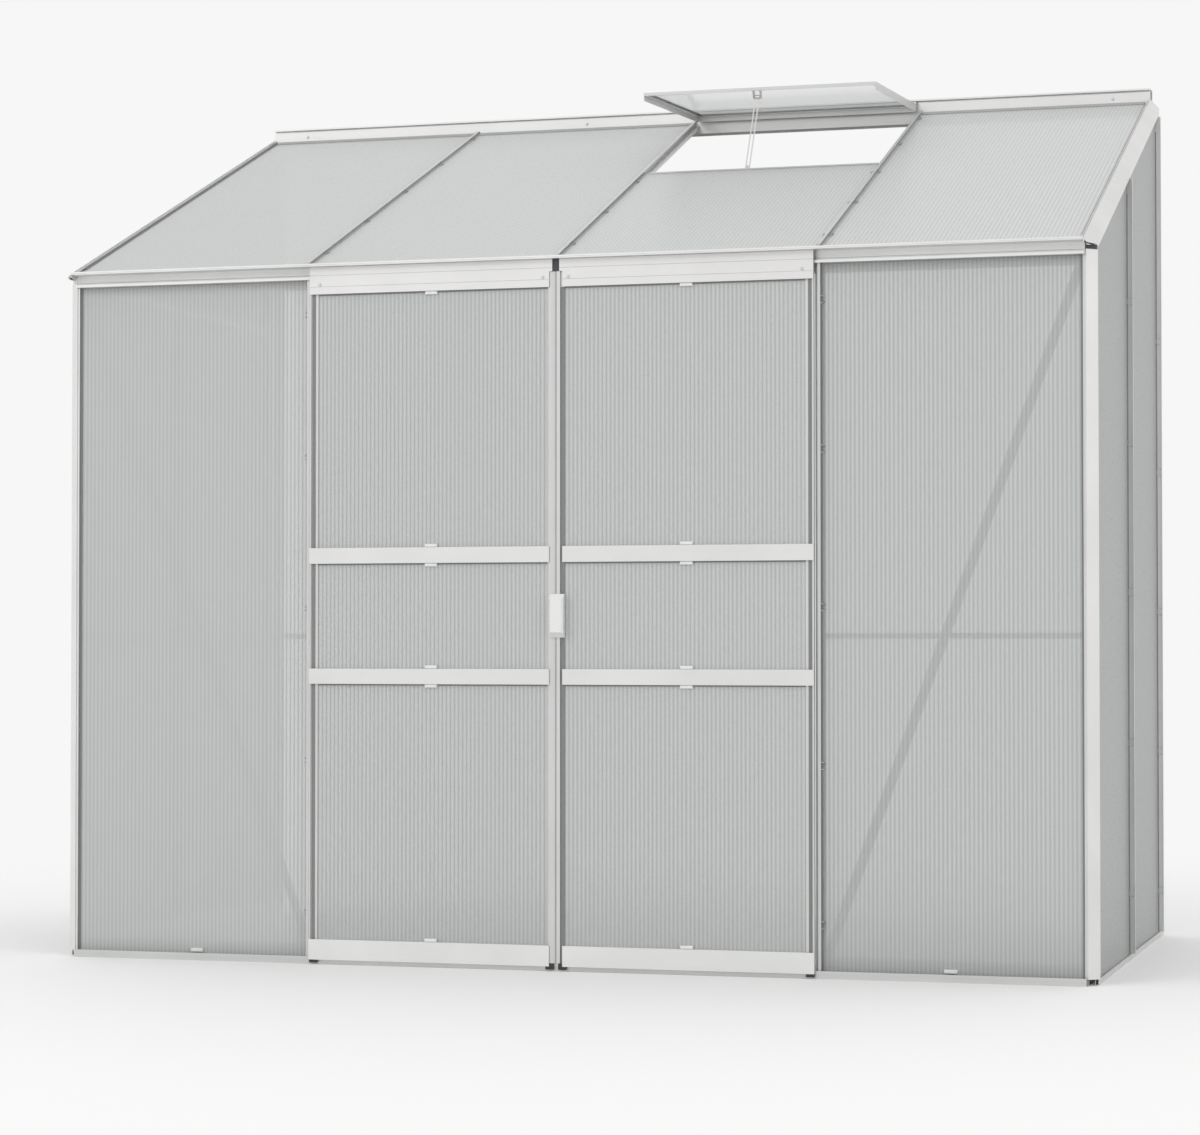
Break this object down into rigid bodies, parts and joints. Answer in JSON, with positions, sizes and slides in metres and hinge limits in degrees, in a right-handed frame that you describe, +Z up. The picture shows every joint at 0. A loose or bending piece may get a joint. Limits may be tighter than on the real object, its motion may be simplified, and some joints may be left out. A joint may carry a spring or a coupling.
{
  "type": "lean to greenhouse",
  "caption": "Lean-to greenhouse of bolted aluminium bars and twin-wall panes, with sliding double doors under an eaves gutter and a hinged roof vent; it stands against a wall.",
  "frame": {"origin": "centre of the bounding box in X and Y, on the ground plane under the sills", "axes": "+X along the wall, to the right for someone facing the doors; +Y from the doors to the wall; +Z up"},
  "size_m": [2.508, 1.358, 2.204],
  "materials": {
    "frame_aluminium": "mill finish, satin",
    "bright_aluminium": "mill finish, bright satin",
    "twin_wall": "translucent twin-wall sheet with upright ribs",
    "clear_sheet": "clear sheet",
    "white_plastic": "white moulded plastic",
    "black_plastic": "black moulded plastic"
  },
  "bodies": {
    "frame": {"front_sill": "frame_aluminium", "left_sill": "frame_aluminium", "right_sill": "frame_aluminium", "left_corner_post": "bright_aluminium", "right_corner_post": "bright_aluminium", "left_jamb": "frame_aluminium", "right_jamb": "frame_aluminium", "left_gable_post": "frame_aluminium", "right_gable_post": "frame_aluminium", "left_wall_post": "frame_aluminium", "right_wall_post": "frame_aluminium", "eaves_gutter": "frame_aluminium", "left_end_rafter": "bright_aluminium", "right_end_rafter": "bright_aluminium", "left_rafter": "frame_aluminium", "middle_rafter": "frame_aluminium", "right_rafter": "frame_aluminium", "ridge_rail": "bright_aluminium", "vent_sill": "frame_aluminium", "left_tie": "frame_aluminium", "right_tie": "frame_aluminium", "left_brace": "frame_aluminium", "right_brace": "frame_aluminium", "left_front_pane": "twin_wall", "right_front_pane": "twin_wall", "left_gable_pane_front": "twin_wall", "left_gable_pane_rear": "twin_wall", "right_gable_pane_front": "twin_wall", "right_gable_pane_rear": "twin_wall", "roof_pane_1": "twin_wall", "roof_pane_2": "twin_wall", "roof_pane_3": "twin_wall", "roof_pane_4": "twin_wall"},
    "left_door": {"left_door_meeting_stile": "frame_aluminium", "left_door_outer_stile": "frame_aluminium", "left_door_bottom_rail": "bright_aluminium", "left_door_lower_rail": "bright_aluminium", "left_door_upper_rail": "bright_aluminium", "left_door_top_rail": "bright_aluminium", "left_door_low_pane": "twin_wall", "left_door_middle_pane": "twin_wall", "left_door_high_pane": "twin_wall", "door_handle": "white_plastic"},
    "right_door": {"right_door_meeting_stile": "frame_aluminium", "right_door_outer_stile": "frame_aluminium", "right_door_bottom_rail": "bright_aluminium", "right_door_lower_rail": "bright_aluminium", "right_door_upper_rail": "bright_aluminium", "right_door_top_rail": "bright_aluminium", "right_door_low_pane": "twin_wall", "right_door_middle_pane": "twin_wall", "right_door_high_pane": "twin_wall"},
    "left_inner_wheel": {"left_door_inner_roller": "black_plastic"},
    "left_outer_wheel": {"left_door_outer_roller": "black_plastic"},
    "right_inner_wheel": {"right_door_inner_roller": "black_plastic"},
    "right_outer_wheel": {"right_door_outer_roller": "black_plastic"},
    "vent": {"vent_frame": "bright_aluminium", "vent_pane": "clear_sheet"},
    "stay": {"vent_stay": "bright_aluminium"}
  },
  "joints": [
    {"name": "left_door_slide", "type": "slide", "parent": "frame", "child": "left_door", "axis": [-1, 0, 0], "range_m": [0, 0.6]},
    {"name": "right_door_slide", "type": "slide", "parent": "frame", "child": "right_door", "axis": [1, 0, 0], "range_m": [0, 0.6]},
    {"name": "left_inner_wheel_turn", "type": "hinge", "parent": "left_door", "child": "left_inner_wheel", "pos_m": [-0.051, -0.651, 1.6373], "axis": [0, 1, 0], "range_deg": [-3821.7, 0]},
    {"name": "left_outer_wheel_turn", "type": "hinge", "parent": "left_door", "child": "left_outer_wheel", "pos_m": [-0.561, -0.651, 1.6373], "axis": [0, 1, 0], "range_deg": [-3821.7, 0]},
    {"name": "right_inner_wheel_turn", "type": "hinge", "parent": "right_door", "child": "right_inner_wheel", "pos_m": [0.051, -0.651, 1.6373], "axis": [0, 1, 0], "range_deg": [0, 3821.7]},
    {"name": "right_outer_wheel_turn", "type": "hinge", "parent": "right_door", "child": "right_outer_wheel", "pos_m": [0.561, -0.651, 1.6373], "axis": [0, 1, 0], "range_deg": [0, 3821.7]},
    {"name": "vent_hinge", "type": "hinge", "parent": "frame", "child": "vent", "pos_m": [0.31, 0.632, 2.1982], "axis": [1, 0, 0], "range_deg": [-10, 18.4]},
    {"name": "stay_pivot", "type": "hinge", "parent": "vent", "child": "stay", "pos_m": [0.303, 0.08963, 2.13688], "axis": [1, 0, 0], "range_deg": [-18.5, 10.1]}
  ],
  "couplings": [
    {"joint": "left_inner_wheel_turn", "follows": "left_door_slide", "rad_per_m": -111.11},
    {"joint": "left_outer_wheel_turn", "follows": "left_door_slide", "rad_per_m": -111.11},
    {"joint": "right_inner_wheel_turn", "follows": "right_door_slide", "rad_per_m": 111.11},
    {"joint": "right_outer_wheel_turn", "follows": "right_door_slide", "rad_per_m": 111.11},
    {"joint": "stay_pivot", "follows": "vent_hinge", "ratio": -1}
  ]
}
